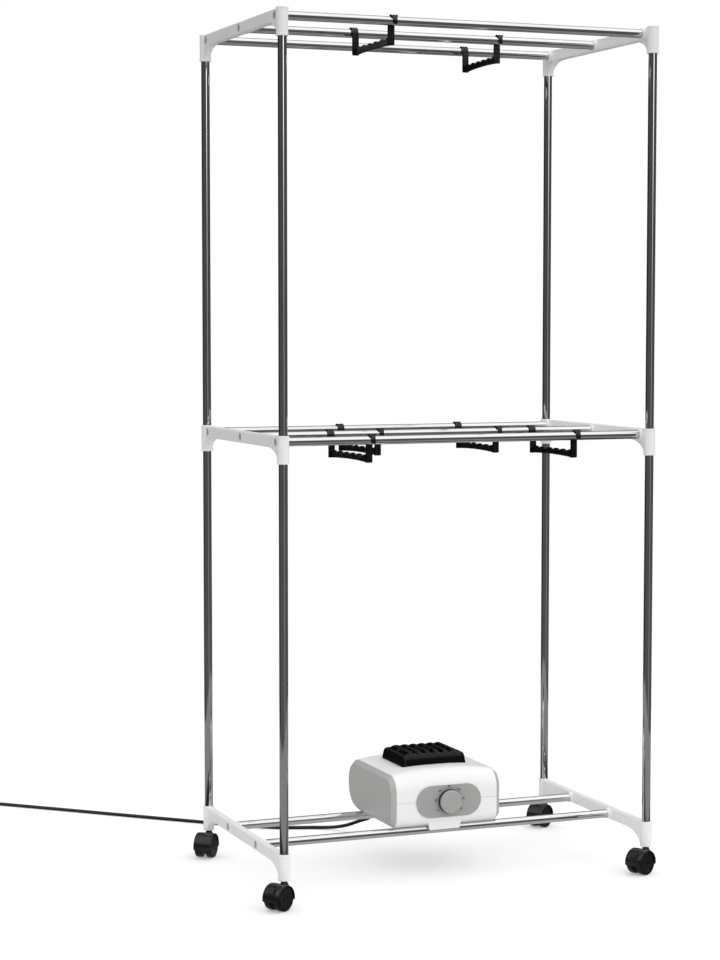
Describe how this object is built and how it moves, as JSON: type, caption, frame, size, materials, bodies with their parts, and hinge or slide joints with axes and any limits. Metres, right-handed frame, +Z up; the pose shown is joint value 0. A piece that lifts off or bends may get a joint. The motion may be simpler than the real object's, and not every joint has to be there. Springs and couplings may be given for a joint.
{
  "type": "portable clothes dryer",
  "caption": "Free-standing two-tier chromed airing rack on twin-wheel castors, with white end frames, black notched hangers and a clip-on warm-air heater with a timer knob.",
  "frame": {"origin": "on the floor under the middle of the stand's outline, the cord left out", "axes": "+X along the rails to the right, +Y to the back, away from the timer knob, +Z up"},
  "size_m": [1.1579, 1.2136, 1.588],
  "materials": {
    "chrome": "bright chrome plate on steel tube",
    "white_plastic": "satin white moulding",
    "grey_plastic": "matt mid-grey moulding",
    "black_plastic": "satin black nylon",
    "black_gloss": "glossy black heat-proof moulding",
    "cord_black": "black flexible sheath",
    "zinc_steel": "plain zinc plate",
    "element_metal": "bare finned aluminium",
    "inner_plastic": "matt heat-proof inner moulding",
    "brass": "plain"
  },
  "bodies": {
    "rack": {"air_duct": "inner_plastic", "control_panel": "grey_plastic", "cord_grip": "cord_black", "end_frame_base_left": "white_plastic", "end_frame_base_right": "white_plastic", "end_frame_middle_left": "white_plastic", "end_frame_middle_right": "white_plastic", "end_frame_top_left": "white_plastic", "end_frame_top_right": "white_plastic", "fan_motor": "zinc_steel", "heater_lower_shell": "white_plastic", "heater_upper_shell": "white_plastic", "heating_element": "element_metal", "mains_cord_coil": "cord_black", "mains_cord_run": "cord_black", "mains_plug": "black_plastic", "motor_bracket": "inner_plastic", "outlet_grille": "black_gloss", "post_lower_front_left": "chrome", "post_lower_front_right": "chrome", "post_lower_rear_left": "chrome", "post_lower_rear_right": "chrome", "post_upper_front_left": "chrome", "post_upper_front_right": "chrome", "post_upper_rear_left": "chrome", "post_upper_rear_right": "chrome", "rail_base_front": "chrome", "rail_base_rear": "chrome", "rail_middle_centre": "chrome", "rail_middle_front": "chrome", "rail_middle_rear": "chrome", "rail_top_centre": "chrome", "rail_top_front": "chrome", "rail_top_rear": "chrome", "side_cover_left": "grey_plastic", "side_cover_right": "grey_plastic", "thermal_cutout": "brass", "timer_body": "inner_plastic"},
    "castor_front_left": {"castor_housing_front_left": "black_plastic"},
    "castor_wheel_front_left_inner": {"castor_wheel_front_left_inner": "black_plastic"},
    "castor_wheel_front_left_outer": {"castor_wheel_front_left_outer": "black_plastic"},
    "brake_lever_front_left": {"brake_lever_front_left": "black_plastic"},
    "castor_front_right": {"castor_housing_front_right": "black_plastic"},
    "castor_wheel_front_right_inner": {"castor_wheel_front_right_inner": "black_plastic"},
    "castor_wheel_front_right_outer": {"castor_wheel_front_right_outer": "black_plastic"},
    "brake_lever_front_right": {"brake_lever_front_right": "black_plastic"},
    "castor_rear_left": {"castor_housing_rear_left": "black_plastic"},
    "castor_wheel_rear_left_inner": {"castor_wheel_rear_left_inner": "black_plastic"},
    "castor_wheel_rear_left_outer": {"castor_wheel_rear_left_outer": "black_plastic"},
    "castor_rear_right": {"castor_housing_rear_right": "black_plastic"},
    "castor_wheel_rear_right_inner": {"castor_wheel_rear_right_inner": "black_plastic"},
    "castor_wheel_rear_right_outer": {"castor_wheel_rear_right_outer": "black_plastic"},
    "hanger_top_front": {"hanger_top_front": "black_plastic"},
    "hanger_top_rear": {"hanger_top_rear": "black_plastic"},
    "hanger_middle_front_left": {"hanger_middle_front_left": "black_plastic"},
    "hanger_middle_rear_left": {"hanger_middle_rear_left": "black_plastic"},
    "hanger_middle_rear_right": {"hanger_middle_rear_right": "black_plastic"},
    "hanger_middle_front_right": {"hanger_middle_front_right": "black_plastic"},
    "timer_knob": {"timer_knob": "grey_plastic"},
    "fan_impeller": {"fan_impeller": "inner_plastic"}
  },
  "joints": [
    {"name": "castor_swivel_front_left", "type": "hinge", "parent": "rack", "child": "castor_front_left", "pos_m": [-0.35052, -0.21, 0.044], "axis": [0, 0, 1], "continuous": true},
    {"name": "wheel_spin_front_left_inner", "type": "hinge", "parent": "castor_front_left", "child": "castor_wheel_front_left_inner", "pos_m": [-0.36669, -0.21433, 0.0225], "axis": [0.5299, -0.848, 0], "continuous": true},
    {"name": "wheel_spin_front_left_outer", "type": "hinge", "parent": "castor_front_left", "child": "castor_wheel_front_left_outer", "pos_m": [-0.36149, -0.22264, 0.0225], "axis": [0.5299, -0.848, 0], "continuous": true},
    {"name": "brake_press_front_left", "type": "hinge", "parent": "castor_front_left", "child": "brake_lever_front_left", "pos_m": [-0.37599, -0.22591, 0.03346], "axis": [0.5299, -0.848, 0], "range_deg": [0, 12]},
    {"name": "castor_swivel_front_right", "type": "hinge", "parent": "rack", "child": "castor_front_right", "pos_m": [0.37748, -0.21, 0.044], "axis": [0, 0, 1], "continuous": true},
    {"name": "wheel_spin_front_right_inner", "type": "hinge", "parent": "castor_front_right", "child": "castor_wheel_front_right_inner", "pos_m": [0.36087, -0.21203, 0.0225], "axis": [0.4067, -0.9135, 0], "continuous": true},
    {"name": "wheel_spin_front_right_outer", "type": "hinge", "parent": "castor_front_right", "child": "castor_wheel_front_right_outer", "pos_m": [0.36485, -0.22099, 0.0225], "axis": [0.4067, -0.9135, 0], "continuous": true},
    {"name": "brake_press_front_right", "type": "hinge", "parent": "castor_front_right", "child": "brake_lever_front_right", "pos_m": [0.35005, -0.22222, 0.03346], "axis": [0.4067, -0.9135, 0], "range_deg": [0, 12]},
    {"name": "castor_swivel_rear_left", "type": "hinge", "parent": "rack", "child": "castor_rear_left", "pos_m": [-0.35052, 0.227, 0.044], "axis": [0, 0, 1], "continuous": true},
    {"name": "wheel_spin_rear_left_inner", "type": "hinge", "parent": "castor_rear_left", "child": "castor_wheel_rear_left_inner", "pos_m": [-0.36423, 0.21741, 0.0225], "axis": [0.788, -0.6157, 0], "continuous": true},
    {"name": "wheel_spin_rear_left_outer", "type": "hinge", "parent": "castor_rear_left", "child": "castor_wheel_rear_left_outer", "pos_m": [-0.35651, 0.21137, 0.0225], "axis": [0.788, -0.6157, 0], "continuous": true},
    {"name": "castor_swivel_rear_right", "type": "hinge", "parent": "rack", "child": "castor_rear_right", "pos_m": [0.37748, 0.227, 0.044], "axis": [0, 0, 1], "continuous": true},
    {"name": "wheel_spin_rear_right_inner", "type": "hinge", "parent": "castor_rear_right", "child": "castor_wheel_rear_right_inner", "pos_m": [0.36139, 0.22239, 0.0225], "axis": [0.5446, -0.8387, 0], "continuous": true},
    {"name": "wheel_spin_rear_right_outer", "type": "hinge", "parent": "castor_rear_right", "child": "castor_wheel_rear_right_outer", "pos_m": [0.36673, 0.21417, 0.0225], "axis": [0.5446, -0.8387, 0], "continuous": true},
    {"name": "hanger_top_front_slide", "type": "slide", "parent": "rack", "child": "hanger_top_front", "axis": [1, 0, 0], "range_m": [-0.184, 0.144]},
    {"name": "hanger_top_rear_slide", "type": "slide", "parent": "rack", "child": "hanger_top_rear", "axis": [1, 0, 0], "range_m": [-0.144, 0.171]},
    {"name": "hanger_middle_front_left_slide", "type": "slide", "parent": "rack", "child": "hanger_middle_front_left", "axis": [1, 0, 0], "range_m": [-0.139, 0.039]},
    {"name": "hanger_middle_rear_left_slide", "type": "slide", "parent": "rack", "child": "hanger_middle_rear_left", "axis": [1, 0, 0], "range_m": [-0.039, 0.116]},
    {"name": "hanger_middle_rear_right_slide", "type": "slide", "parent": "rack", "child": "hanger_middle_rear_right", "axis": [1, 0, 0], "range_m": [-0.116, 0.026]},
    {"name": "hanger_middle_front_right_slide", "type": "slide", "parent": "rack", "child": "hanger_middle_front_right", "axis": [1, 0, 0], "range_m": [-0.026, 0.107]},
    {"name": "timer_turn", "type": "hinge", "parent": "rack", "child": "timer_knob", "pos_m": [0.02248, -0.0888, 0.1413], "axis": [0, 1, 0], "range_deg": [0, 252]},
    {"name": "fan_spin", "type": "hinge", "parent": "rack", "child": "fan_impeller", "pos_m": [0.01948, 0.025, 0.1411], "axis": [0, 0, 1], "continuous": true}
  ]
}
